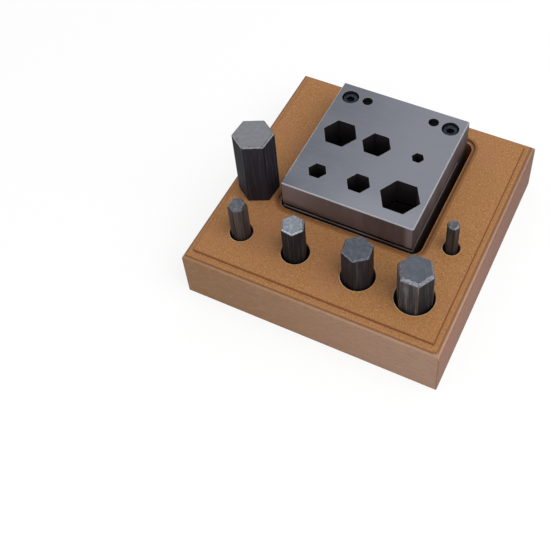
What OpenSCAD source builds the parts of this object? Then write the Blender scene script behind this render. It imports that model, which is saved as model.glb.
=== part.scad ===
// Disc cutter for sheet metal with six hexagonal punches.
// A steel block of two plates, held apart by a thin strip at the back, lies in a pocket in a
// fibreboard base. Five punches stand in holes in the base and the largest stands on top of it.
// Millimetres, +Z up. X runs left to right and Y front to back. The origin is the middle of the
// base's underside.

/* [Base] */
// Width of the base, left to right
base_w = 119; // [116:1:150]
// Depth of the base, front to back
base_d = 121; // [114:1:150]
// Thickness of the base
base_h = 28; // [24:0.5:40]
// Radius of the base's four upright edges, which are only eased
base_corner = 0.5; // [0.2:0.1:2]
// Depth of the small step that the edge cutter leaves at the top edge
edge_step = 1; // [0.4:0.1:1.5]
// Width of the flat below that step, before the round begins
edge_ledge = 1; // [0.2:0.1:1.2]
// Radius of the rounded top edge
edge_round = 3; // [1:0.1:3.2]

/* [Pocket] */
// Free space to the left of the block
left_play = 2.1; // [1.6:0.1:3.2]
// Free space to the right of the block
right_play = 3.1; // [1.6:0.1:5]
// Free space in front of the block
front_play = 0.9; // [0.6:0.1:4]
// Free space behind the block
back_play = 1.5; // [0.8:0.1:4]
// Corner radius of the pocket
pocket_corner = 4.5; // [2:0.5:5]
// Width of the shallow rebate round the pocket's mouth
rebate_w = 1.5; // [0.5:0.1:3]
// Depth of that rebate
rebate_depth = 0.8; // [0.3:0.1:1.5]

/* [Block] */
// Width of both plates, left to right
block_w = 62; // [60:1:70]
// Depth of both plates, front to back
block_d = 66.6; // [60:0.1:70]
// Distance of the block's middle to the right of the middle of the base
block_x = -0.5; // [-1:0.1:1]
// Distance of the block's middle behind the middle of the base
block_y = 14.8; // [12:0.1:16]
// Thickness of the upper plate, which guides the punches
guide_h = 14; // [10:0.5:20]
// Height of the slot that takes the sheet
slot_h = 1.3; // [0.6:0.1:3]
// Thickness of the lower plate, which lies in the pocket
die_h = 16; // [14:0.5:18]
// Depth of the strip that holds the plates apart, front to back
spacer_d = 12; // [10.5:0.5:14]
// Bevel on the plates' edges
plate_bevel = 0.4; // [0.2:0.1:0.8]

/* [Punches] */
// Across flats of each punch, largest first
punch_af = [16, 14, 12, 9.5, 7.5, 5]; // [4:0.5:16]
// Length of every punch
punch_len = 36; // [30:1:45]
// Width of the bevel round the struck end of each punch
bevel_w = [0.6, 1, 0.5, 0.6, 0.9, 0.6]; // [0.2:0.1:1.2]
// Height of that bevel, along the punch
bevel_h = [0.7, 1.6, 0.8, 1.1, 2.2, 1.4]; // [0.2:0.1:3]
// Turn of each punch about its own axis, in degrees
punch_turn = [26, 0, 37, 52, 30, 57]; // [0:1:60]
// How much wider each hexagonal hole is than its punch, across the flats
punch_fit = 0.1; // [0.04:0.02:0.2]

/* [Cutting holes] */
// Place of each hexagonal hole to the right of the block's middle
cut_x = [19.1, -19.5, -1.9, -0.2, -19.4, 17.7]; // [-20.5:0.1:20.5]
// Place of each hexagonal hole behind the block's middle
cut_y = [-19.4, 3.2, 3.6, -19.7, -20.6, 3.9]; // [-24:0.1:12]

/* [Storage holes] */
// Side that each punch's place is measured from, -1 for the left and 1 for the right
store_side = [-1, 1, 1, -1, -1, 1]; // [-1:2:1]
// Distance of each punch's middle from that side of the base
store_in = [13.9, 19.5, 45.1, 44.6, 18.3, 14.7]; // [12:0.1:58]
// Distance of each punch's middle from the front of the base
store_up = [46.7, 21.3, 21.3, 21.3, 21.3, 50.7]; // [12:0.1:100]
// Diameter of each storage hole, with none for the largest punch
store_dia = [0, 17.2, 15, 12.5, 10.2, 7.5]; // [0:0.1:18]
// Depth of each storage hole
store_depth = [0, 15, 16, 16, 16, 19]; // [0:0.5:20]
// Bevel at the mouth of each storage hole
store_bevel = 0.3; // [0.1:0.1:0.6]

/* [Screws and dowels] */
// Distance of each screw from the nearer side of the block
screw_in = 6.4; // [5:0.1:8]
// Distance of the screws from the block's back face
screw_back = 7.7; // [6:0.1:8]
// Diameter of the screws' shanks
screw_dia = 4; // [3:0.5:4]
// Length of the screws below their heads
screw_len = 20; // [16:1:22]
// Diameter of the screws' heads
head_dia = 7; // [6:0.1:7.2]
// Height of the screws' heads
head_h = 4; // [3:0.1:4.5]
// Across flats of the sockets in the heads
socket_af = 3; // [2:0.5:3.5]
// Depth of the sockets
socket_depth = 2.2; // [1.5:0.1:2.5]
// Diameter of the counterbores round the heads
counterbore_dia = 8; // [7.5:0.1:9]
// How far the heads lie below the upper plate's face
head_sunk = 1; // [0.2:0.1:2]
// Distance of each dowel from the nearer side of the block
dowel_in = 14.7; // [13.2:0.1:16]
// Distance of the dowels from the block's back face
dowel_back = 7; // [5:0.1:8]
// Diameter of the dowels
dowel_dia = 4.8; // [3:0.1:5]
// Length of the dowels
dowel_len = 26; // [22:1:28]
// How far the dowels lie below the upper plate's face
dowel_sunk = 0.8; // [0.2:0.1:2]

/* [Hidden] */
$fn = 96;

// Cuts run this far past a face, so that no skin is left
over = 1;
// Number of sides of a punch
sides = 6;
// Running fit of the dowels, and of the threads in the lower plate
pin_gap = 0.02;
// Drilled clearance round the screws in the upper plate and the strip
drill_gap = 0.25;
// Bevel on the small turned parts, and at the socket's mouth
small_bevel = 0.4;
socket_bevel = 0.5;

// Width of the whole worked edge of the base
edge_inset = edge_ledge + edge_round;
// The lower plate's top face is level with the base's, so the pocket is as deep as the plate
pocket_floor = base_h - die_h;
pocket_w = block_w + left_play + right_play;
pocket_d = block_d + front_play + back_play;
pocket_x = block_x + (right_play - left_play) / 2;
pocket_y = block_y + (back_play - front_play) / 2;
// Levels in the block
spacer_z = base_h;
guide_z = spacer_z + slot_h;
block_top = guide_z + guide_h;
head_seat = block_top - head_sunk - head_h;
dowel_foot = block_top - dowel_sunk - dowel_len;
// Places of the screws and dowels, from the block's middle
screw_x = block_w / 2 - screw_in;
screw_y = block_d / 2 - screw_back;
dowel_x = block_w / 2 - dowel_in;
dowel_y = block_d / 2 - dowel_back;
tap_foot = head_seat - screw_len - over;

// Order of the punches in the lists above
p16 = 0;
p14 = 1;
p12 = 2;
p9_5 = 3;
p7_5 = 4;
p5 = 5;

// Place of punch i, from the base's middle
function store_x(i) = store_side[i] * (base_w / 2 - store_in[i]);
function store_y(i) = store_up[i] - base_d / 2;

board_colour = "#A0744A";
steel_colour = "#7D828C";
black_colour = "#2A2A2E";
punch_colour = "#4A474B";

// A rectangle about the origin with rounded corners
module rounded_rect(w, d, r) {
    square([w, d - 2 * r], center = true);
    square([w - 2 * r, d], center = true);
    for (sx = [-1, 1], sy = [-1, 1])
        translate([sx * (w / 2 - r), sy * (d / 2 - r)]) circle(r = r);
}

// A rectangle about the origin with its corners cut off at 45 degrees
module cut_rect(w, d, c) {
    x = w / 2;
    y = d / 2;
    polygon([[x - c, -y], [x, -y + c], [x, y - c], [x - c, y],
             [-x + c, y], [-x, y - c], [-x, -y + c], [-x + c, -y]]);
}

// A plate standing on z = 0 with a bevel on all twelve edges
module bevelled_plate(w, d, h, c) {
    intersection() {
        linear_extrude(h) cut_rect(w, d, c);
        translate([0, 0, h / 2]) rotate([90, 0, 0])
            linear_extrude(d, center = true) cut_rect(w, h, c);
        translate([0, 0, h / 2]) rotate([90, 0, 90])
            linear_extrude(w, center = true) cut_rect(d, h, c);
    }
}

// A six-sided prism standing on z = 0
module hex_prism(af, h) {
    cylinder(d = af / cos(180 / sides), h = h, $fn = sides);
}

// One pair of a hexagonal bar's flats, with the bevel at its top end
module flat_pair(af, len, w, h) {
    x = af / 2;
    rotate([90, 0, 0]) linear_extrude(2 * af, center = true)
        polygon([[-x, 0], [x, 0], [x, len - h], [x - w, len], [-x + w, len], [-x, len - h]]);
}

// A hexagonal bar standing on z = 0, square at the foot and with a bevel w wide and h high at
// the top
module hex_bar(af, len, w, h) {
    intersection() {
        rotate([0, 0, 30]) flat_pair(af, len, w, h);
        rotate([0, 0, 90]) flat_pair(af, len, w, h);
        rotate([0, 0, 150]) flat_pair(af, len, w, h);
    }
}

// Half of the base's section, from its middle out to reach, with the worked top edge
module edge_section(reach) {
    difference() {
        square([reach, base_h]);
        translate([reach - edge_inset, base_h - edge_step])
            square([edge_inset + over, edge_step + over]);
        translate([reach - edge_round, base_h - edge_step - edge_round])
            difference() {
                square(edge_round + over);
                circle(r = edge_round);
            }
    }
}

// The base's section across its whole width, extruded along Y
module edge_run(w, len) {
    rotate([90, 0, 0]) linear_extrude(len, center = true) {
        edge_section(w / 2);
        mirror([1, 0]) edge_section(w / 2);
    }
}

// A slab with the worked edge running along all four sides, mitred at the corners
module worked_slab() {
    intersection() {
        edge_run(base_w, base_d);
        rotate([0, 0, 90]) edge_run(base_d, base_w);
        linear_extrude(base_h) rounded_rect(base_w, base_d, base_corner);
    }
}

// The pocket for the block, with the rebate round its mouth
module pocket() {
    translate([pocket_x, pocket_y, pocket_floor]) linear_extrude(die_h + over)
        rounded_rect(pocket_w, pocket_d, pocket_corner);
    translate([pocket_x, pocket_y, base_h - rebate_depth]) linear_extrude(rebate_depth + over)
        rounded_rect(pocket_w + 2 * rebate_w, pocket_d + 2 * rebate_w, pocket_corner + rebate_w);
}

// The storage hole of punch i, bevelled at its mouth
module storage_hole(i) {
    r = store_dia[i] / 2;
    translate([store_x(i), store_y(i), base_h]) {
        translate([0, 0, -store_depth[i]]) cylinder(r = r, h = store_depth[i] + over);
        translate([0, 0, -store_bevel])
            cylinder(r1 = r, r2 = r + store_bevel + over, h = store_bevel + over);
    }
}

// The six hexagonal holes through a plate from z = 0 up to h
module cutting_holes(h) {
    for (i = [p16 : p5])
        translate([cut_x[i], cut_y[i], -over]) hex_prism(punch_af[i] + punch_fit, h + 2 * over);
}

// A row of two round holes, from z = low up to high
module hole_pair(x, y, r, low, high) {
    for (side = [-1, 1])
        translate([side * x, y, low]) cylinder(r = r, h = high - low);
}

module base_board() {
    color(board_colour) difference() {
        worked_slab();
        pocket();
        for (i = [p14 : p5]) storage_hole(i);
    }
}

module die_plate() {
    color(steel_colour) translate([block_x, block_y, 0]) difference() {
        translate([0, 0, pocket_floor]) bevelled_plate(block_w, block_d, die_h, plate_bevel);
        translate([0, 0, pocket_floor]) cutting_holes(die_h);
        hole_pair(screw_x, screw_y, screw_dia / 2 + pin_gap, tap_foot, base_h + over);
        hole_pair(dowel_x, dowel_y, dowel_dia / 2 + pin_gap, dowel_foot, base_h + over);
    }
}

module spacer_strip() {
    color(steel_colour) translate([block_x, block_y, 0]) difference() {
        translate([-block_w / 2, block_d / 2 - spacer_d, spacer_z])
            cube([block_w, spacer_d, slot_h]);
        hole_pair(screw_x, screw_y, screw_dia / 2 + drill_gap, spacer_z - over, guide_z + over);
        hole_pair(dowel_x, dowel_y, dowel_dia / 2 + pin_gap, spacer_z - over, guide_z + over);
    }
}

module guide_plate() {
    color(steel_colour) translate([block_x, block_y, 0]) difference() {
        translate([0, 0, guide_z]) bevelled_plate(block_w, block_d, guide_h, plate_bevel);
        translate([0, 0, guide_z]) cutting_holes(guide_h);
        hole_pair(screw_x, screw_y, screw_dia / 2 + drill_gap, guide_z - over, block_top + over);
        hole_pair(screw_x, screw_y, counterbore_dia / 2, head_seat, block_top + over);
        hole_pair(dowel_x, dowel_y, dowel_dia / 2 + pin_gap, guide_z - over, block_top + over);
    }
}

// A socket head cap screw on the given side, with its head on the counterbore's floor
module cap_screw(side) {
    r = screw_dia / 2;
    head_r = head_dia / 2;
    c = small_bevel;
    socket_r = socket_af / 2 / cos(180 / sides);
    x = block_x + side * screw_x;
    y = block_y + screw_y;
    color(black_colour) translate([x, y, head_seat]) difference() {
        rotate_extrude()
            polygon([[0, -screw_len], [r - c, -screw_len], [r, -screw_len + c], [r, 0],
                     [head_r, 0], [head_r, head_h - c], [head_r - c, head_h], [0, head_h]]);
        translate([0, 0, head_h - socket_depth]) hex_prism(socket_af, socket_depth + over);
        translate([0, 0, head_h - socket_bevel])
            cylinder(r1 = socket_r - socket_bevel / 2, r2 = socket_r + socket_bevel / 2 + over,
                     h = socket_bevel + over);
    }
}

// A plain dowel on the given side, standing on the floor of its hole
module dowel_pin(side) {
    r = dowel_dia / 2;
    c = small_bevel;
    x = block_x + side * dowel_x;
    y = block_y + dowel_y;
    color(black_colour) translate([x, y, dowel_foot])
        rotate_extrude()
            polygon([[0, 0], [r - c, 0], [r, c], [r, dowel_len - c], [r - c, dowel_len],
                     [0, dowel_len]]);
}

// Punch i in its place on the base
module punch(i) {
    color(punch_colour) translate([store_x(i), store_y(i), base_h - store_depth[i]])
        rotate([0, 0, punch_turn[i]]) hex_bar(punch_af[i], punch_len, bevel_w[i], bevel_h[i]);
}

base_board();
die_plate();
spacer_strip();
guide_plate();
cap_screw(-1);  // cap_screw_left
cap_screw(1);  // cap_screw_right
dowel_pin(-1);  // dowel_pin_left
dowel_pin(1);  // dowel_pin_right
punch(p16);  // punch_16mm
punch(p14);  // punch_14mm
punch(p12);  // punch_12mm
punch(p9_5);  // punch_9_5mm
punch(p7_5);  // punch_7_5mm
punch(p5);  // punch_5mm
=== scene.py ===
# %% [markdown]
# This is a disc cutter for sheet metal: a steel block with hexagonal holes, six punches that
# fit them, and a fibreboard base that stores it all. Its solids are already built and packed as
# one model. They could be imported one by one and placed by hand, but a fixed frame keeps their
# places and sizes safe. So this script adds only what the eye reads: softened edges, real
# finishes, soft light and the camera.

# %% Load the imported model
import math

import bpy
from mathutils import Matrix, Vector


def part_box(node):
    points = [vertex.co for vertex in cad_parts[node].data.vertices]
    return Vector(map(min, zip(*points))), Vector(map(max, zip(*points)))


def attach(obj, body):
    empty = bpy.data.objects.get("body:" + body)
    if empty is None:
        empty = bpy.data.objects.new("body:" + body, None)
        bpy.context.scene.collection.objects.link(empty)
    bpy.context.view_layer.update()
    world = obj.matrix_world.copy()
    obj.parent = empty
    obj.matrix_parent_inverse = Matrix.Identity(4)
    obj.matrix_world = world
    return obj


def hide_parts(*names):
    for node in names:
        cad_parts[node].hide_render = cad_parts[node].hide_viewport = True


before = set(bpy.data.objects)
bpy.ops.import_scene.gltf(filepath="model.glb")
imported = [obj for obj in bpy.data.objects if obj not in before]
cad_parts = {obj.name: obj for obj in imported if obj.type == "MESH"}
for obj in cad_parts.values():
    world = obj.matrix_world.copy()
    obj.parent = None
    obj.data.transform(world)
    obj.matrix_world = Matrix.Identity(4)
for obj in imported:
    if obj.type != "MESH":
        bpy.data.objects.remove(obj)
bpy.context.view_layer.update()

MM = 0.001

# %% [markdown]
# The camera looks steeply down on the set from the front right. It could be moved by eye until
# the picture looks right, but then every shape would be judged through a wrong lens. So its
# angles, distance and lens come from fitting a pinhole camera to the block's corners, the six
# hexagons and the base's outline. A piece that is right in millimetres then also lands on the
# right pixel. The small lens shift stands for the way the picture was cropped.

# %% Camera
# The photograph's frame in pixels, and the sensor's width in millimetres
PICTURE = 550
SENSOR = 36
azimuth, elevation, roll = (math.radians(a) for a in (28.98, 50.31, -3.77))
focal_px = 996.8
centre_px = Vector((311.2, 171.5))
aside, above, distance = (v * MM for v in (-24.9, 29.37, 465.2))

back = Vector((math.sin(azimuth) * math.cos(elevation),
               -math.cos(azimuth) * math.cos(elevation), math.sin(elevation)))
level = Vector((0, 0, 1)).cross(back).normalized()
upright = back.cross(level)
right = level * math.cos(roll) + upright * math.sin(roll)
up = upright * math.cos(roll) - level * math.sin(roll)
eye = right * aside + up * above + back * distance

camera = bpy.data.objects.new("camera", bpy.data.cameras.new("camera"))
bpy.context.scene.collection.objects.link(camera)
camera.matrix_world = Matrix.Translation(eye) @ Matrix((right, up, back)).transposed().to_4x4()
camera.data.sensor_width = SENSOR
camera.data.lens = focal_px * SENSOR / PICTURE
camera.data.shift_x = (PICTURE / 2 - centre_px.x) / PICTURE
camera.data.shift_y = (centre_px.y - PICTURE / 2) / PICTURE
# Nothing stands nearer than 10 mm, and the floor ends within 20 m
camera.data.clip_start, camera.data.clip_end = 10 * MM, 20
bpy.context.scene.camera = camera
print("lens in mm:", round(camera.data.lens, 1), "shift:", round(camera.data.shift_x, 3),
      round(camera.data.shift_y, 3))

# %% [markdown]
# Every finish is painted by a node tree. Nodes could be placed by hand in the Shader Editor,
# but written as code they can be read, compared and changed in one place. Colours are the sRGB
# hex values that a colour picker shows. Blender's sockets want linear light, so one function
# turns them. One more function adds a node with its settings and links.

# %% Colours and nodes
def paint(hex_value):
    """Turns '#RRGGBB' into a linear colour with full alpha."""
    parts = [int(hex_value[i:i + 2], 16) / 255 for i in (1, 3, 5)]
    return [c / 12.92 if c <= 0.04045 else ((c + 0.055) / 1.055) ** 2.4 for c in parts] + [1]


def node(tree, kind, links=None, **settings):
    """Adds a node. links gives its inputs a number, a colour or another node's output."""
    made = tree.nodes.new(kind)
    for name, value in settings.items():
        setattr(made, name, value)
    for name, value in (links or {}).items():
        if isinstance(value, bpy.types.Node):
            value = value.outputs[0]
        if isinstance(value, bpy.types.NodeSocket):
            tree.links.new(value, made.inputs[name])
        else:
            made.inputs[name].default_value = value
    return made


def new_material(name):
    """A material with an empty node tree, and the object's coordinates in millimetres."""
    made = bpy.data.materials.new(name)
    made.use_nodes = True
    tree = made.node_tree
    tree.nodes.clear()
    where = node(tree, "ShaderNodeTexCoord").outputs["Object"]
    place = node(tree, "ShaderNodeVectorMath", {0: where, "Scale": 1 / MM}, operation="SCALE")
    return made, tree, place


print("sRGB #808080 in linear light:", round(paint("#808080")[0], 3))

# %% [markdown]
# A real finish is built up in coats: a ground tone, then stains, wear and burnt edges, each of
# them only in its own places. Such places could be painted on an image, but an image needs a
# flat layout of every face and has a fixed sharpness. Here a mask is worked out for each point
# instead. It is a smooth step of some value, such as a height or a noise, and where several
# masks meet they are joined.

# %% Masks and coats
def joined(tree, masks, operation):
    """Joins masks by a Math operation. (value, start, end) stands for a smooth step."""
    whole = None
    for mask in masks:
        if isinstance(mask, tuple):
            value, start, end = mask
            mask = node(tree, "ShaderNodeMapRange", {0: value, 1: start, 2: end},
                        interpolation_type="SMOOTHSTEP")
        if whole is not None:
            mask = node(tree, "ShaderNodeMath", {0: whole, 1: mask}, operation=operation)
        whole = mask
    return whole


def where_all(tree, *masks):
    """1 only where all the masks are 1. A plain number thins the result."""
    return joined(tree, masks, "MULTIPLY")


def where_any(tree, *masks):
    """1 where any of the masks is 1."""
    return joined(tree, masks, "MAXIMUM")


def coat(tree, under, tone, *masks):
    """Paints a tone over another where all the masks are 1. Returns the colour's output."""
    under, tone = (paint(c) if isinstance(c, str) else c for c in (under, tone))
    made = node(tree, "ShaderNodeMix", {0: where_all(tree, *masks), 6: under, 7: tone},
                data_type="RGBA")
    return made.outputs[2]


def line_at(tree, value, centre, half_width):
    """A mask that is 1 where value is centre, and 0 from half_width away on both sides."""
    moved = node(tree, "ShaderNodeMath", {0: value, 1: centre}, operation="SUBTRACT")
    off = node(tree, "ShaderNodeMath", {0: moved}, operation="ABSOLUTE")
    return off, half_width, half_width / 2


def grain(tree, place, per_mm, detail=3, rough=0.6, stretch=(1, 1, 1)):
    """Noise with per_mm features to the millimetre. A stretch under 1 draws them longer."""
    fitted = node(tree, "ShaderNodeVectorMath", {0: place, 1: stretch}, operation="MULTIPLY")
    return node(tree, "ShaderNodeTexNoise", {"Vector": fitted, "Scale": per_mm,
                                             "Detail": detail, "Roughness": rough})


print("one pixel in mm at the set:", round(distance / focal_px / MM, 2))

# %% [markdown]
# Wear and burnt edges lie at certain distances from the real edges. Those places could be typed
# in, but then a changed size would leave the wear behind. So the boxes of the board and of the
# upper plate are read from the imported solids, and the paint is placed from them. The pocket
# has no solid of its own, so its place comes from the block and the play round it.

# %% Sizes that the finishes need
def size_of(name):
    """Lowest and highest corner of a CAD node in millimetres."""
    low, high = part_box(name)
    return low / MM, high / MM


board_low, board_high = size_of("base_board")
block_low, block_high = size_of("guide_plate")
# The block's play in its pocket, to the left and front, and to the right and back
pocket_low = block_low - Vector((2.1, 0.9, 0))
pocket_high = block_high + Vector((3.1, 1.5, 0))
POCKET_CORNER = 4.5
# How wide the rebate round the pocket is, and how far in the step of the top edge lies
REBATE = 1.5
EDGE_INSET = 4
print("board in mm:", board_high - board_low, "upper plate in mm:", block_high - block_low)
print("pocket in mm:", pocket_low, pocket_high)

# %% [markdown]
# The step, the rebate and the walls of the holes each follow an outline, seen from above. A
# separate material on each of those faces would leave hard borders between them. The distance
# to the outline gives soft ones, and for a rounded rectangle it takes only a few vector nodes:
# fold the four quarters onto one, and measure from there. The normal adds which way a point
# faces: its Z part, called facing here, is 1 on level faces and 0 on walls.

# %% Distance from an outline
def outside_of(tree, place, low, high, corner=0):
    """How many millimetres a point lies outside a rounded rectangle, negative inside."""
    middle = (low + high) / 2
    half = (high - low) / 2
    flat = node(tree, "ShaderNodeVectorMath",
                {0: place, 1: (1, 1, 0), 2: (-middle.x, -middle.y, 0)}, operation="MULTIPLY_ADD")
    folded = node(tree, "ShaderNodeVectorMath", {0: flat}, operation="ABSOLUTE")
    past = node(tree, "ShaderNodeVectorMath",
                {0: folded, 1: (half.x - corner, half.y - corner, 0)}, operation="SUBTRACT")
    outer = node(tree, "ShaderNodeVectorMath", {0: past, 1: (0, 0, 0)}, operation="MAXIMUM")
    apart = node(tree, "ShaderNodeVectorMath", {0: outer}, operation="LENGTH").outputs["Value"]
    side, front, _ = node(tree, "ShaderNodeSeparateXYZ", {0: past}).outputs
    nearer = node(tree, "ShaderNodeMath", {0: side, 1: front}, operation="MAXIMUM")
    inner = node(tree, "ShaderNodeMath", {0: nearer, 1: 0}, operation="MINIMUM")
    sharp = node(tree, "ShaderNodeMath", {0: apart, 1: inner}, operation="ADD")
    return node(tree, "ShaderNodeMath", {0: sharp, 1: corner}, operation="SUBTRACT")


def board_map(tree, place):
    """Where a point lies on the board in millimetres, and how much it faces back and up."""
    x, y, z = node(tree, "ShaderNodeSeparateXYZ", {0: place}).outputs
    normal = node(tree, "ShaderNodeNewGeometry").outputs["Normal"]
    back_facing, facing = node(tree, "ShaderNodeSeparateXYZ", {0: normal}).outputs[1:]
    inset = Vector((EDGE_INSET, EDGE_INSET, 0))
    edge = outside_of(tree, place, board_low + inset, board_high - inset)
    pocket = outside_of(tree, place, pocket_low, pocket_high, POCKET_CORNER)
    return x, y, z, back_facing, facing, edge, pocket


print("step of the top edge in mm:", board_high.x - EDGE_INSET, board_high.y - EDGE_INSET)

# %% [markdown]
# The base is medium density fibreboard: wood fibres pressed with resin. Its top is sanded, so
# the eye finds short light and dark fibres in an even brown. Its sides are sawn through the
# pressed layers. They drink more light, look darker and pinker, and show short level streaks.
# One flat brown would look like plastic, and an image would repeat. Noise at the size of the
# fibres does neither, and each coat of it adds one thing that the real board shows. Over the
# sawn tone, the sides also get painted light and shade.

# %% Sanded top and sawn sides of the fibreboard
# Real fibres are about 0.1 mm wide. They are drawn 0.6 mm wide, the finest that shows.
FIBRES_PER_MM = 1.6
# Pressed layers are about 0.2 mm thick. They are drawn 0.7 mm thick, so that they show.
LAYERS_PER_MM = 1.4


def sanded_top(tree, place):
    """Colour of the sanded faces, and the fibres for their bump."""
    fibres = grain(tree, place, FIBRES_PER_MM, 3, 0.65, (1, 0.8, 1))
    # Darker fibre bundles are 1 to 2 mm across
    bundles = grain(tree, place, 0.7, stretch=(0.8, 1.2, 1))
    # The pressed mat is a little redder in clouds about 20 mm across
    clouds = grain(tree, place, 0.05, 2, 0.5)
    colour = coat(tree, "#996B40", "#C99A68", (fibres, 0.54, 0.7), 0.55)
    colour = coat(tree, colour, "#6F4825", (fibres, 0.46, 0.32), 0.7)
    colour = coat(tree, colour, "#83593A", (bundles, 0.58, 0.72), 0.6)
    colour = coat(tree, colour, "#9C6A4C", (clouds, 0.45, 0.65), 0.3)
    return colour, fibres


def sawn_sides_and_shade(tree, place, x, y):
    """Colour of the sawn sides, with painted light and shade."""
    streaks = grain(tree, place, LAYERS_PER_MM, stretch=(0.3, 0.3, 1))
    # Painted light and shade: the sides get paler towards the right and darker towards the back,
    # and the
    #     # right face is painted darker and redder
    colour = coat(tree, "#85603F", "#967661", (x, board_low.x + 4.5, board_high.x + 0.5))
    colour = coat(tree, colour, "#74594A", (y, -50, 50), 0.75)
    colour = coat(tree, colour, "#68392B", (x, board_high.x - 0.8, board_high.x - 0.3), 0.6)
    colour = coat(tree, colour, "#B08E76", (streaks, 0.5, 0.66), 0.16)
    return coat(tree, colour, "#6E4C3A", (streaks, 0.5, 0.36), 0.2)


print("drawn in mm: fibres", round(1 / FIBRES_PER_MM, 2), "layers", round(1 / LAYERS_PER_MM, 2))

# %% [markdown]
# A router cut the small step along the top edge and the rebate round the pocket. They get
# painted shade, darkest on their walls, and the step's top gets it only along the front and the
# right side. A drill made the storage holes. Their walls are painted dark, as shade with some
# scorch, and their bevelled rims get a painted highlight where they face back. Loose rings of
# dark geometry could stand for such edges, but they would shimmer against the board. So they
# are coats too, placed by the distance from each outline and by which way a point faces.

# %% Routed and drilled places of the fibreboard
# The sanding of the top ends this high on the rounded edge
SANDING_END = board_high.z - 1.6


def painted_step_shade(tree, x, y, z, edge):
    """1 where shade is painted on the top of the small step, on the front and on the right."""
    # The step's shade is painted only along the front and the right side
    worn = where_any(tree, (x, board_high.x - 5, board_high.x - 4.5),
                     (y, board_low.y + 5, board_low.y + 4.5))
    return where_all(tree, line_at(tree, edge, -0.25, 0.45), worn,
                     (z, board_high.z - 0.8, board_high.z - 0.4))


def rounded_edge(tree, sanded, sawn, x, z, edge):
    """Joins the sanded top to the sawn sides, with painted shade and highlight where the sanding
    ends.
    """
    # It ends a little higher on the right side
    higher = where_all(tree, (x, board_high.x - 3.5, board_high.x - 2.5), 0.25)
    height = node(tree, "ShaderNodeMath", {0: z, 1: higher}, operation="SUBTRACT")
    colour = coat(tree, sawn, sanded, (height, SANDING_END - 0.3, SANDING_END + 0.3))
    # A brown line and a paler one below it, painted as the shade and highlight of a small arris
    round_part = (edge, 1, 2)
    colour = coat(tree, colour, "#5A3218", line_at(tree, height, SANDING_END, 0.3), round_part,
                  0.6)
    return coat(tree, colour, "#C09A7C", line_at(tree, height, SANDING_END - 0.8, 0.5),
                round_part, 0.2)


def routed_and_drilled(tree, colour, x, y, z, back_facing, facing, edge, pocket):
    """Adds the painted shade of the walls, the rims' painted highlight, and the holes' painted
    shade.
    """
    # The rebate's floor is browner, and so is a strip of the top face beside it
    colour = coat(tree, colour, "#6C4322", (pocket, 0, 0.2), (pocket, REBATE, REBATE - 0.2), 0.75)
    colour = coat(tree, colour, "#6E4420", line_at(tree, pocket, REBATE + 0.5, 1.1),
                  (facing, 0.7, 0.9), 0.6)
    # Painted shade on the walls of the step and of the rebate, darkest along their upper half
    wall = (facing, 0.7, 0.3)
    step_wall = where_all(tree, line_at(tree, edge, 0, 0.8), wall,
                          (z, board_high.z - 1, board_high.z - 0.5))
    step = where_any(tree, step_wall, painted_step_shade(tree, x, y, z, edge))
    colour = coat(tree, colour, "#6A3A1A", step, 0.8)
    colour = coat(tree, colour, "#4A2A14", line_at(tree, pocket, REBATE, 0.8), wall, 0.9)
    # Bevels of the storage holes get a painted highlight on the side that faces back, and painted
    # shade on the other
    within = (edge, -0.8, -1.2)
    rim = coat(tree, "#5E3A22", "#CCA880", (back_facing, -0.4, 0.2))
    colour = coat(tree, colour, rim, line_at(tree, facing, 0.7, 0.25), within, 0.85)
    # The holes' walls are painted dark, as shade with some scorch, and the pocket's walls browner
    deep_wall = coat(tree, "#2A1A14", "#8A4A2C", (pocket, 0.6, 0.3))
    return coat(tree, colour, deep_wall, (z, board_high.z - 0.9, board_high.z - 1.6), within, 0.9)


print("sanding ends at", round(SANDING_END, 1), "mm, rebate is", REBATE, "mm wide")

# %% [markdown]
# Both fibreboard finishes are dry and matt. Bare wood and its resin have an IOR near 1.45 to
# 1.5, and a roughness of 0.7 to 0.9, so the light spreads and no lamp shows in it. The softened
# edges get a finish of their own: there the board tears into pale fuzz. Round the holes and the
# pocket that fuzz gets a painted highlight where it faces back and at the pocket's mouth, and
# painted shade elsewhere, and the step and the rebate's wall get painted shade too. One material
# with an edge mask could do both, but a mesh edge is easier to give to a bevel by its material
# slot.

# %% Fibreboard finishes
def fibreboard():
    """The faces of the base: dry and matt, so that only its fibres and burnt places show."""
    made, tree, place = new_material("MDF_sanded_and_routed")
    x, y, z, back_facing, facing, edge, pocket = board_map(tree, place)
    sanded, fibres = sanded_top(tree, place)
    sawn = sawn_sides_and_shade(tree, place, x, y)
    colour = rounded_edge(tree, sanded, sawn, x, z, edge)
    colour = routed_and_drilled(tree, colour, x, y, z, back_facing, facing, edge, pocket)
    bump = node(tree, "ShaderNodeBump", {"Height": fibres, "Strength": 0.12,
                                         "Distance": 0.1 * MM})
    shader = node(tree, "ShaderNodeBsdfPrincipled",
                  {"Base Color": colour, "Roughness": 0.75, "IOR": 1.45, "Normal": bump})
    node(tree, "ShaderNodeOutputMaterial", {0: shader})
    return made


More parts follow.
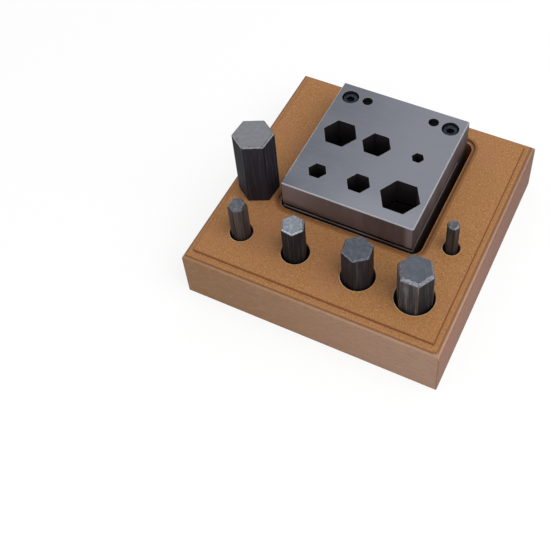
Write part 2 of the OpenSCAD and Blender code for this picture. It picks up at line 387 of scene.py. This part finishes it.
def fibreboard_arris():
    """The softened edges of the base: a pale torn line that parts one face from the next."""
    made, tree, place = new_material("MDF_torn_arris")
    x, y, z, back_facing, _, edge, pocket = board_map(tree, place)
    # Torn fibres stand up about 0.1 mm wide. They are drawn 0.7 mm wide, so that they show.
    fuzz = grain(tree, place, 1.5, 3, 0.7)
    outer = coat(tree, "#946640", "#B98C60", (fuzz, 0.35, 0.65))
    pale = coat(tree, "#B8926A", "#D6B68E", (fuzz, 0.35, 0.65))
    # Painted highlight where the edges face back and at the pocket's mouth, painted shade on the
    # rest
    lit = where_any(tree, (back_facing, -0.4, 0.2), (pocket, 1.2, 0.9))
    rim = coat(tree, "#6A4428", pale, lit)
    colour = coat(tree, outer, rim, (edge, -0.8, -1.2))
    # Painted shade along the small step and the rebate's wall
    painted_edge_shade = where_any(tree, painted_step_shade(tree, x, y, z, edge), line_at(tree, pocket, REBATE, 0.9))
    colour = coat(tree, colour, "#5A3318", painted_edge_shade, 0.85)
    bump = node(tree, "ShaderNodeBump", {"Height": fuzz, "Strength": 0.2, "Distance": 0.1 * MM})
    shader = node(tree, "ShaderNodeBsdfPrincipled",
                  {"Base Color": colour, "Roughness": 0.85, "IOR": 1.45, "Normal": bump})
    node(tree, "ShaderNodeOutputMaterial", {0: shader})
    return made


mdf = fibreboard()
mdf_arris = fibreboard_arris()
print("finishes:", mdf.name, mdf_arris.name)

# %% [markdown]
# Both plates are tool steel. A surface grinder left the top bright, with very fine parallel
# lines that spread a reflection into a soft cloud; that cloud is painted into the top's colour.
# The sides were only milled, so they are duller, with broad upright bands. Each side gets its
# own painted reflection and shade, and the front face is darker near the slot at its left end.
# An anisotropic shader could stand for the grinding lines, but on a flat plate it only stretches
# the highlight, and the lines themselves are what the eye looks for. A metal keeps the default
# IOR, because its colour already is its reflection.

# %% Tones of the ground top and the milled sides
def ground_top(tree, place, x, y):
    """Colour of the ground faces with a painted reflection, and the lines for their bump."""
    # Handling leaves faint clouds about 14 mm across
    clouds = grain(tree, place, 0.07, 3, 0.55)
    # Grinding lines are about 0.05 mm apart. They are drawn 0.5 mm apart, so that they show.
    lines = grain(tree, place, 2, stretch=(0.03, 1, 1))
    # A painted reflection leaves the face dullest at its left end
    colour = coat(tree, "#6D7078", "#858891", (x, -34, 20))
    colour = coat(tree, colour, "#83868F", (clouds, 0.4, 0.7), 0.3)
    # A painted reflection makes the corner near the largest hole brightest
    colour = coat(tree, colour, "#989AA3", (y, -4, -16), (x, -25, 15), 0.5)
    return coat(tree, colour, "#A4A7AF", (lines, 0.45, 0.65), 0.06), lines


def milled_sides(tree, place, x, z, to_right, to_back):
    """Colour of the upper plate's milled sides, with painted reflections and shade."""
    # The cutter's single passes show as upright bands about 8 mm wide
    milled = grain(tree, place, 0.12, 3, 0.55, (1, 1, 0.2))
    # Painted reflections: the front face is brighter at its left end, the right one warmer towards
    # the
    #     # slot, and the rear and left ones get a tone of their own
    front = coat(tree, "#A09BA3", "#7B757B", (x, -32, 8))
    right_side = coat(tree, "#666A74", "#726A72", (z, block_high.z - 2, block_high.z - 9))
    colour = coat(tree, front, right_side, (to_right, 0.3, 0.6))
    rear_or_left = where_any(tree, (to_back, 0.3, 0.6), (to_right, -0.3, -0.6))
    colour = coat(tree, colour, "#7C7E84", rear_or_left)
    colour = coat(tree, colour, "#A09AA4", (milled, 0.45, 0.62), 0.25)
    # The front face is darker near the slot at its left end
    colour = coat(tree, colour, "#5A5056", (z, block_low.z + 4, block_low.z + 1), (x, 0, -20),
                  0.55)
    # A painted highlight brightens the front face beside its right corner
    return coat(tree, colour, "#B4B8CC", (x, block_high.x - 5, block_high.x - 2),
                (to_right, 0.6, 0.3), 0.75)


print("upper plate's height in mm:", round(block_high.z - block_low.z, 1))

# %% [markdown]
# The upper plate is clean, while the lower one, in the slot and the pocket, gets painted shade,
# darkest on its top. They could have two materials, but with one finish they look cut from the
# same bar, and the height of a point says which plate it is on. The walls of the hexagonal holes
# keep the dark skin of hardening. Ground steel has a typical roughness of 0.3 to 0.4, milled and
# oiled steel 0.5 to 0.6, and the direction that a point faces tells them apart.

# %% Ground tool steel
def in_block(tree, place):
    """A mask of the walls of the holes through the block, without its outer sides."""
    return outside_of(tree, place, block_low, block_high), -0.5, -0.8


def ground_steel():
    """Both plates: a bright, softly mirroring top over duller sides and dark holes."""
    made, tree, place = new_material("tool_steel_surface_ground")
    x, y, z = node(tree, "ShaderNodeSeparateXYZ", {0: place}).outputs
    normal = node(tree, "ShaderNodeNewGeometry").outputs["Normal"]
    to_right, to_back, facing = node(tree, "ShaderNodeSeparateXYZ", {0: normal}).outputs
    top, lines = ground_top(tree, place, x, y)
    sides = milled_sides(tree, place, x, z, to_right, to_back)
    colour = coat(tree, sides, top, (facing, 0.5, 0.9))
    # The plates' own bevels are rubbed bright, and painted lighter as a highlight
    colour = coat(tree, colour, "#B4B3B8", line_at(tree, facing, 0.7, 0.3), 0.8)
    # Painted shade darkens the lower plate, most on its top in the slot, and its right side a
    # little less
    oiled = coat(tree, "#6E5C58", "#74655F", (to_right, 0.3, 0.6))
    oiled = coat(tree, oiled, "#3E3331", (facing, 0.5, 0.9))
    colour = coat(tree, colour, oiled, (z, block_low.z - 0.3, block_low.z - 1), 0.9)
    colour = coat(tree, colour, "#5C575C", in_block(tree, place), (facing, 0.5, 0.2))
    # Level faces are ground smooth, upright ones are rougher
    rough = node(tree, "ShaderNodeMapRange", {0: facing, 1: 0.3, 2: 0.9, 3: 0.58, 4: 0.36})
    bump = node(tree, "ShaderNodeBump", {"Height": lines, "Strength": 0.04,
                                         "Distance": 0.05 * MM})
    shader = node(tree, "ShaderNodeBsdfPrincipled",
                  {"Base Color": colour, "Metallic": 1, "Roughness": rough, "Normal": bump})
    node(tree, "ShaderNodeOutputMaterial", {0: shader})
    return made


plate_steel = ground_steel()
print("finish:", plate_steel.name)

# %% [markdown]
# Edges of steel are touched most, so they wear bright while the faces beside them stay dull.
# Their bright tones are also painted highlights, and on the upper plate the edges behind, at
# the left, below and in the holes get painted shade. That thin bright line is what makes a
# block look heavy and real. It could be found by a Pointiness or ambient occlusion mask, but
# those are costly and depend on the mesh. Here every softened edge has its own material slot,
# so its tone can be chosen for each kind of steel.

# %% Worn edges
def shaded_edges(tree, place, to_back):
    """A mask of the upper plate's edges that get painted shade: in the holes, below, behind and
    left.
    """
    x, y, z = node(tree, "ShaderNodeSeparateXYZ", {0: place}).outputs
    in_hole = where_all(tree, in_block(tree, place), (z, block_high.z - 0.3, block_high.z - 0.6))
    below = (z, block_low.z + 0.9, block_low.z + 0.6)
    behind = where_all(tree, (to_back, 0.2, 0.5), (y, block_high.y - 0.6, block_high.y - 0.4))
    at_left = where_all(tree, (x, block_low.x + 0.6, block_low.x + 0.4), 0.75)
    return where_any(tree, in_hole, below, behind, at_left)


def worn_and_highlit_arris(name, low, high, standing=None, dark=None):
    """standing is the tone of upright edges, set apart for how light falls on them, and dark is the
    painted shade of edges in the holes, below, behind and at the left.
    """
    made, tree, place = new_material(name)
    # Nicks and rubbed spots are 1 to 2 mm long
    worn = grain(tree, place, 0.8)
    colour = coat(tree, low, high, (worn, 0.35, 0.65))
    normal = node(tree, "ShaderNodeNewGeometry").outputs["Normal"]
    _, to_back, facing = node(tree, "ShaderNodeSeparateXYZ", {0: normal}).outputs
    if standing:
        colour = coat(tree, colour, standing, (facing, 0.35, 0.15))
    if dark:
        colour = coat(tree, colour, dark, shaded_edges(tree, place, to_back))
    # Rubbed steel is smoother than the faces beside it
    shader = node(tree, "ShaderNodeBsdfPrincipled",
                  {"Base Color": colour, "Metallic": 1, "Roughness": 0.3})
    node(tree, "ShaderNodeOutputMaterial", {0: shader})
    return made


plate_arris = worn_and_highlit_arris("tool_steel_bright_arris", "#A4A4A8", "#DAD6D4", "#8892AC", "#2A2A2E")
# The lower plate's edges are painted dark, as shade in the slot and the pocket
shaded_lower_arris = worn_and_highlit_arris("tool_steel_oiled_arris", "#231E1D", "#3A3331")
screw_arris = worn_and_highlit_arris("black_oxide_worn_arris", "#666C76", "#8E949C")
punch_arris = worn_and_highlit_arris("hardened_bar_worn_arris", "#4A4A50", "#86868E", "#2A282E")
# The 14 mm punch's upright corners get a painted highlight
highlit_corner_arris = worn_and_highlit_arris("hardened_bar_rubbed_arris", "#4A4A50", "#86868E", "#8C898C")
print("edges:", plate_arris.name, shaded_lower_arris.name, screw_arris.name, punch_arris.name,
      highlit_corner_arris.name)

# %% [markdown]
# The strip between the plates is plain cold rolled steel, drawn out along its length, and only
# its ends and front show as a dark gap. The socket screws are black oxide finished and oiled,
# so they are near black with a soft sheen. The hardened dowels are painted near black, as the
# shade in their holes. These pieces are small, so one function with a mottled tone serves all
# three.

# %% Strip, screws and dowels
def plain_metal(name, low, high, rough, per_mm, stretch=(1, 1, 1)):
    """A metal with a mottled tone between low and high, and an equally fine bump."""
    made, tree, place = new_material(name)
    pattern = grain(tree, place, per_mm, stretch=stretch)
    colour = coat(tree, low, high, (pattern, 0.35, 0.65))
    bump = node(tree, "ShaderNodeBump", {"Height": pattern, "Strength": 0.1,
                                         "Distance": 0.05 * MM})
    shader = node(tree, "ShaderNodeBsdfPrincipled",
                  {"Base Color": colour, "Metallic": 1, "Roughness": rough, "Normal": bump})
    node(tree, "ShaderNodeOutputMaterial", {0: shader})
    return made


# Rolling marks and the mottles of oxide are about 0.05 mm fine. They are drawn 0.7 to 0.8 mm
# wide, so that they show. Oil smooths the screws, and the bare dowels are the most matt.
strip_steel = plain_metal("cold_rolled_strip", "#5E5F63", "#75767A", 0.4, 1.5, (0.1, 1, 1))
screw_black = plain_metal("black_oxide_oiled", "#20242C", "#3A404B", 0.35, 1.2)
# The dowels' near black stands for the shade in their holes
dowel_dark = plain_metal("hardened_dowel_dark", "#08090C", "#121318", 0.5, 1.2)
print("finishes:", strip_steel.name, screw_black.name, dowel_dark.name)

# %% [markdown]
# Each punch is a length of hardened hexagonal bar. Heat treatment leaves a dark scale on its
# sides, with lighter streaks where it has rubbed off along the bar. The struck end is ground
# back to bare metal, and a hammer has scuffed it. One finish for all six would look cloned, so
# one function takes each punch's own tones: the small ones are scuffed, the 9.5 mm one is the
# brightest, and the 14 mm one has a wide bright bevel, upright corners with a painted highlight
# and painted shade on its right side. The 16 mm one gets painted shade on its left side.

# %% Hardened hexagonal bar
def side_of_bar(tree, place, to_right, tones, left_shade, right_shade):
    """Colour of a punch's scaled sides, with painted shade on those that face left or right."""
    # Rubbed streaks are 1 mm wide and run about 20 mm along the bar
    streaks = grain(tree, place, 0.9, stretch=(1, 1, 0.05))
    colour = coat(tree, *tones, (streaks, 0.46, 0.76))
    # Painted shade darkens the sides that face left and right by each punch's own amounts, and on
    # the
    #     # left it fades towards the foot as painted light from the board
    z = node(tree, "ShaderNodeSeparateXYZ", {0: place}).outputs["Z"]
    left = where_all(tree, (to_right, -0.3, -0.5), (z, board_high.z, board_high.z + 20),
                     left_shade)
    right_side = where_all(tree, (to_right, 0.6, 0.8), right_shade)
    return coat(tree, colour, "#121114", where_any(tree, left, right_side))


def hardened_bar(name, end, side, bevel, end_rough, left_shade=0, right_shade=0):
    """A punch: dark streaked sides, and a struck end of bare steel with a flecked bevel."""
    made, tree, place = new_material(name)
    normal = node(tree, "ShaderNodeNewGeometry").outputs["Normal"]
    to_right, _, facing = node(tree, "ShaderNodeSeparateXYZ", {0: normal}).outputs
    side_tone = side_of_bar(tree, place, to_right, side, left_shade, right_shade)
    # Hammer scuffs on the end are about 2 mm across, and flecks on its bevel 0.6 mm
    scuffs = grain(tree, place, 0.5, 4, 0.65)
    flecks = grain(tree, place, 1.6, 2, 0.5)
    end_tone = coat(tree, *end, (scuffs, 0.4, 0.66))
    bevel_tone = coat(tree, end[1], bevel, (flecks, 0.3, 0.6))
    # The end faces straight up, and what slants between it and the sides is its bevel
    colour = coat(tree, side_tone, end_tone, (facing, 0.86, 0.95))
    colour = coat(tree, colour, bevel_tone, (facing, 0.1, 0.2), (facing, 0.95, 0.86))
    # The scale is rougher than the end, and it is half metal, half oxide
    rough = node(tree, "ShaderNodeMapRange", {0: facing, 1: 0.1, 2: 0.9, 3: 0.62,
                                              4: end_rough})
    metal = node(tree, "ShaderNodeMapRange", {0: facing, 1: 0.1, 2: 0.2, 3: 0.5, 4: 1})
    bump = node(tree, "ShaderNodeBump", {"Height": scuffs, "Strength": 0.1,
                                         "Distance": 0.1 * MM})
    # The grey tint keeps the sides from flashing white where they are seen at a low angle
    shader = node(tree, "ShaderNodeBsdfPrincipled",
                  {"Base Color": colour, "Metallic": metal, "Roughness": rough,
                   "Specular Tint": paint("#909090"), "Normal": bump})
    node(tree, "ShaderNodeOutputMaterial", {0: shader})
    return made


print("the left sides' shade starts at", round(board_high.z, 1), "mm and is full 20 mm higher")

# %% [markdown]
# Now each punch gets its tones: the darker and the lighter one of its end, those of its sides,
# the one of its bevel, how rough its end is, and for two of them how much painted shade falls on
# their left or right sides. They could be passed in six long calls, but a table shows at a
# glance how the punches differ.

# %% Finishes of the six punches
PUNCH_FINISH = {
    "punch_16mm": dict(end=("#808187", "#88898E"), side=("#2E2A31", "#444049"),
                       bevel="#9A9BA0", end_rough=0.34, left_shade=0.5),
    "punch_14mm": dict(end=("#5D616A", "#676B74"), side=("#403D3E", "#7E7A7C"),
                       bevel="#A2A4AA", end_rough=0.36, right_shade=0.6),
    "punch_12mm": dict(end=("#545860", "#62666E"), side=("#2E292B", "#4C484B"),
                       bevel="#7C7F86", end_rough=0.4),
    "punch_9_5mm": dict(end=("#7F858E", "#9BA1AA"), side=("#262223", "#423E40"),
                        bevel="#C4C8CE", end_rough=0.3),
    "punch_7_5mm": dict(end=("#5E6067", "#70727A"), side=("#453D3B", "#605854"),
                        bevel="#72757B", end_rough=0.42),
    "punch_5mm": dict(end=("#5C5E64", "#8A8C92"), side=("#3C3532", "#585250"),
                      bevel="#A6A8AC", end_rough=0.42),
}
punch_finish = {name: hardened_bar(name + "_hardened_bar", **tones)
                for name, tones in PUNCH_FINISH.items()}
print("punch finishes:", len(punch_finish))

# %% [markdown]
# A CAD edge is perfectly sharp, and a perfectly sharp edge never catches the light. A bevel
# inside the shader could fake it, but the outline would stay sharp and the exported mesh would
# lose it. So each solid is copied, its split vertices are welded, flat areas are joined again,
# and every sharp edge gets a narrow bevel with its own finish. Weighted normals keep the large
# faces looking flat. The copy stands for the CAD node and rides on the same body.

# %% How a solid is softened
FLAT_ANGLE = math.radians(0.5)
SHARP_ANGLE = math.radians(28)
FACE, ARRIS = 0, 1


def softened(name, body, width, finish, arris):
    """Replaces a CAD node by a copy whose sharp edges are bevelled by width millimetres."""
    copy = bpy.data.objects.new("soft_" + name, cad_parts[name].data.copy())
    bpy.context.scene.collection.objects.link(copy)
    copy.data.materials.clear()
    for material in (finish, arris):
        copy.data.materials.append(material)
    copy.data.shade_smooth()
    weld = copy.modifiers.new("weld", "WELD")
    weld.merge_threshold = 0.001 * MM
    join = copy.modifiers.new("join_flats", "DECIMATE")
    join.decimate_type = "DISSOLVE"
    join.angle_limit = FLAT_ANGLE
    soft = copy.modifiers.new("soften", "BEVEL")
    soft.width = width * MM
    soft.segments = 2
    soft.limit_method = "ANGLE"
    soft.angle_limit = SHARP_ANGLE
    soft.use_clamp_overlap = True
    soft.material = ARRIS
    even = copy.modifiers.new("even_shading", "WEIGHTED_NORMAL")
    even.keep_sharp = True
    graph = bpy.context.evaluated_depsgraph_get()
    baked = bpy.data.meshes.new_from_object(copy.evaluated_get(graph))
    copy.modifiers.clear()
    copy.data = baked
    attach(copy, body)
    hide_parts(name)
    faces = [face.material_index for face in baked.polygons]
    print(f"{copy.name}: {faces.count(FACE)} faces and {faces.count(ARRIS)} on its edges")


print("edges sharper than", round(math.degrees(SHARP_ANGLE)), "degrees are softened")

# %% [markdown]
# How wide a softened edge is tells what the piece is made of. Sanded fibreboard has the widest
# ones, a stoned steel plate 0.1 to 0.2 mm, and a rolled strip or a dowel next to none. A width
# for all would be simpler, but it would make the strip look like soap or the board like glass.

# %% Soften the solids
softened("base_board", "base", 0.22, mdf, mdf_arris)
softened("die_plate", "die_block", 0.12, plate_steel, shaded_lower_arris)
softened("guide_plate", "die_block", 0.2, plate_steel, plate_arris)
softened("spacer_strip", "die_block", 0.05, strip_steel, strip_steel)
for name in ("cap_screw_left", "cap_screw_right"):
    softened(name, "die_block", 0.08, screw_black, screw_arris)
for name in ("dowel_pin_left", "dowel_pin_right"):
    softened(name, "die_block", 0.06, dowel_dark, dowel_dark)
for name, finish in punch_finish.items():
    arris = highlit_corner_arris if name == "punch_14mm" else punch_arris
    softened(name, name, 0.18, finish, arris)

# %% [markdown]
# The set stands in white surroundings that cast hardly any shade. A very bright sky would make
# the background white, but it would also wash out the set. So the Light Path node parts the two:
# the camera and reflections see a white of strength 1, and the set is lit by a dimmer, even sky.
# Together with the lamp it lights a level surface to about 1, so that a colour comes out as it
# was written.

# %% Sky
SKY_LIGHT = 0.72
SKY_SEEN = 1


def seen_directly(tree):
    """1 for camera, mirror and glass rays, 0 for rays that only carry light."""
    path = node(tree, "ShaderNodeLightPath").outputs
    return where_any(tree, path["Is Camera Ray"], path["Is Glossy Ray"],
                     path["Is Transmission Ray"])


sky = bpy.data.worlds.new("studio")
sky.use_nodes = True
bpy.context.scene.world = sky
sky.node_tree.nodes.clear()
strength = node(sky.node_tree, "ShaderNodeMapRange", {0: seen_directly(sky.node_tree),
                                                      3: SKY_LIGHT, 4: SKY_SEEN})
glow = node(sky.node_tree, "ShaderNodeBackground", {"Color": paint("#FFFFFF"),
                                                    "Strength": strength})
node(sky.node_tree, "ShaderNodeOutputWorld", {0: glow})
print("sky's strength as light:", SKY_LIGHT)

# %% [markdown]
# The floor is white paper. A shadow catcher could leave only the shadow, but then the picture
# would have to be put on white afterwards. Here the paper is mixed with a plain white glow for
# the camera: most of the white comes from the glow, and what is left of the paper keeps the soft
# shadow under the set. It lies a hair below the base, so that the two never share one plane.

# %% Floor
FLOOR_HALF = 3
FLOOR_GAP = 0.02 * MM
GLOW_SHARE = 0.8

floor_mesh = bpy.data.meshes.new("floor")
corners = [(x * FLOOR_HALF, y * FLOOR_HALF, 0) for x, y in ((-1, -1), (1, -1), (1, 1), (-1, 1))]
floor_mesh.from_pydata(corners, [], [(0, 1, 2, 3)])
floor = bpy.data.objects.new("floor", floor_mesh)
floor.location.z = -FLOOR_GAP
bpy.context.scene.collection.objects.link(floor)
white = bpy.data.materials.new("white_paper_floor")
white.use_nodes = True
tree = white.node_tree
tree.nodes.clear()
paper = node(tree, "ShaderNodeBsdfDiffuse", {"Color": paint("#F4F4F4")})
shown = node(tree, "ShaderNodeEmission", {"Color": paint("#FFFFFF"), "Strength": 1})
share = where_all(tree, seen_directly(tree), GLOW_SHARE)
node(tree, "ShaderNodeOutputMaterial",
     {0: node(tree, "ShaderNodeMixShader", {0: share, 1: paper, 2: shown})})
floor_mesh.materials.append(white)
print("floor in m:", 2 * FLOOR_HALF)

# %% [markdown]
# One lamp gives the faces their shading: the top gets most of its light, and the left and back
# sides get the least. A sun would draw hard shadows, so this is a large square lamp high up on
# the right, and its size makes every shadow soft. It stays out of reflections, because a square
# glint on the ground plate would draw the eye away from the holes.

# %% Lamp
LAMP_SIZE = 0.7
LAMP_POWER = 5.5
LAMP_PLACE = Vector((0.5, -0.15, 0.75))
LAMP_AIM = Vector((0, 0, 0.03))

lamp = bpy.data.objects.new("soft_lamp", bpy.data.lights.new("soft_lamp", "AREA"))
lamp.data.shape = "SQUARE"
lamp.data.size = LAMP_SIZE
lamp.data.energy = LAMP_POWER
lamp.location = LAMP_PLACE
lamp.rotation_mode = "QUATERNION"
lamp.rotation_quaternion = (LAMP_AIM - LAMP_PLACE).to_track_quat("-Z", "Y")
bpy.context.scene.collection.objects.link(lamp)
lamp.visible_glossy = False
print("lamp in m:", LAMP_SIZE, "power in W:", LAMP_POWER)

# %% [markdown]
# The Standard view shows each colour as it was written, while Blender's default view would
# darken and grey the whites for a film look.

# %% Picture settings
bpy.context.scene.view_settings.view_transform = "Standard"
print("view:", bpy.context.scene.view_settings.view_transform)
